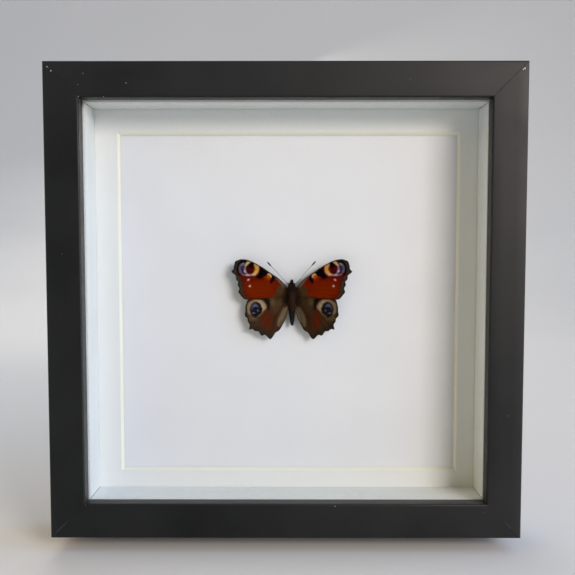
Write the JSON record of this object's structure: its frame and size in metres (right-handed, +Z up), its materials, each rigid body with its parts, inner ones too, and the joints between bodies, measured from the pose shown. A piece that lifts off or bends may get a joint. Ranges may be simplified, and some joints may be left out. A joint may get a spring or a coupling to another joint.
{
  "type": "framed peacock butterfly specimen",
  "caption": "Set peacock butterfly with open wings, mounted on a white card with a bevelled mat in a square black deep frame behind glass.",
  "frame": {"origin": "middle of the frame's underside", "axes": "+Z up towards the butterfly's head, -Y out through the glass, +X to the butterfly's right as seen from the front"},
  "size_m": [0.25, 0.045, 0.25],
  "materials": {
    "frame": "black satin lacquer",
    "glass": "clear polished",
    "liner": "matte white",
    "mat": "matte white with a cream bevel",
    "card": "matte white",
    "board": "raw brown hardboard",
    "steel": "zinc plated",
    "forewing": "velvety wing scales",
    "hindwing": "velvety wing scales",
    "body": "furry",
    "limb": "dry chitin",
    "eye": "dull gloss",
    "spacer": "matte foam"
  },
  "bodies": {
    "root": {"frame_bottom": "frame", "frame_right": "frame", "frame_top": "frame", "frame_left": "frame", "tab_bottom_1": "steel", "tab_bottom_2": "steel", "tab_right_1": "steel", "tab_right_2": "steel", "tab_top_1": "steel", "tab_top_2": "steel", "tab_left_1": "steel", "tab_left_2": "steel", "glass": "glass", "mat_board": "mat", "backing_card": "card", "back_board": "board", "liner_top": "liner", "liner_bottom": "liner", "liner_left": "liner", "liner_right": "liner", "hanger_top": "steel", "hanger_side": "steel", "head": "body", "thorax": "body", "abdomen": "body", "proboscis": "limb", "spacer": "spacer", "forewing_left": "forewing", "hindwing_left": "hindwing", "eye_left": "eye", "palp_left": "body", "antenna_left": "limb", "leg_front_left": "limb", "leg_middle_left": "limb", "leg_hind_left": "limb", "forewing_right": "forewing", "hindwing_right": "hindwing", "eye_right": "eye", "palp_right": "body", "antenna_right": "limb", "leg_front_right": "limb", "leg_middle_right": "limb", "leg_hind_right": "limb"}
  },
  "joints": []
}
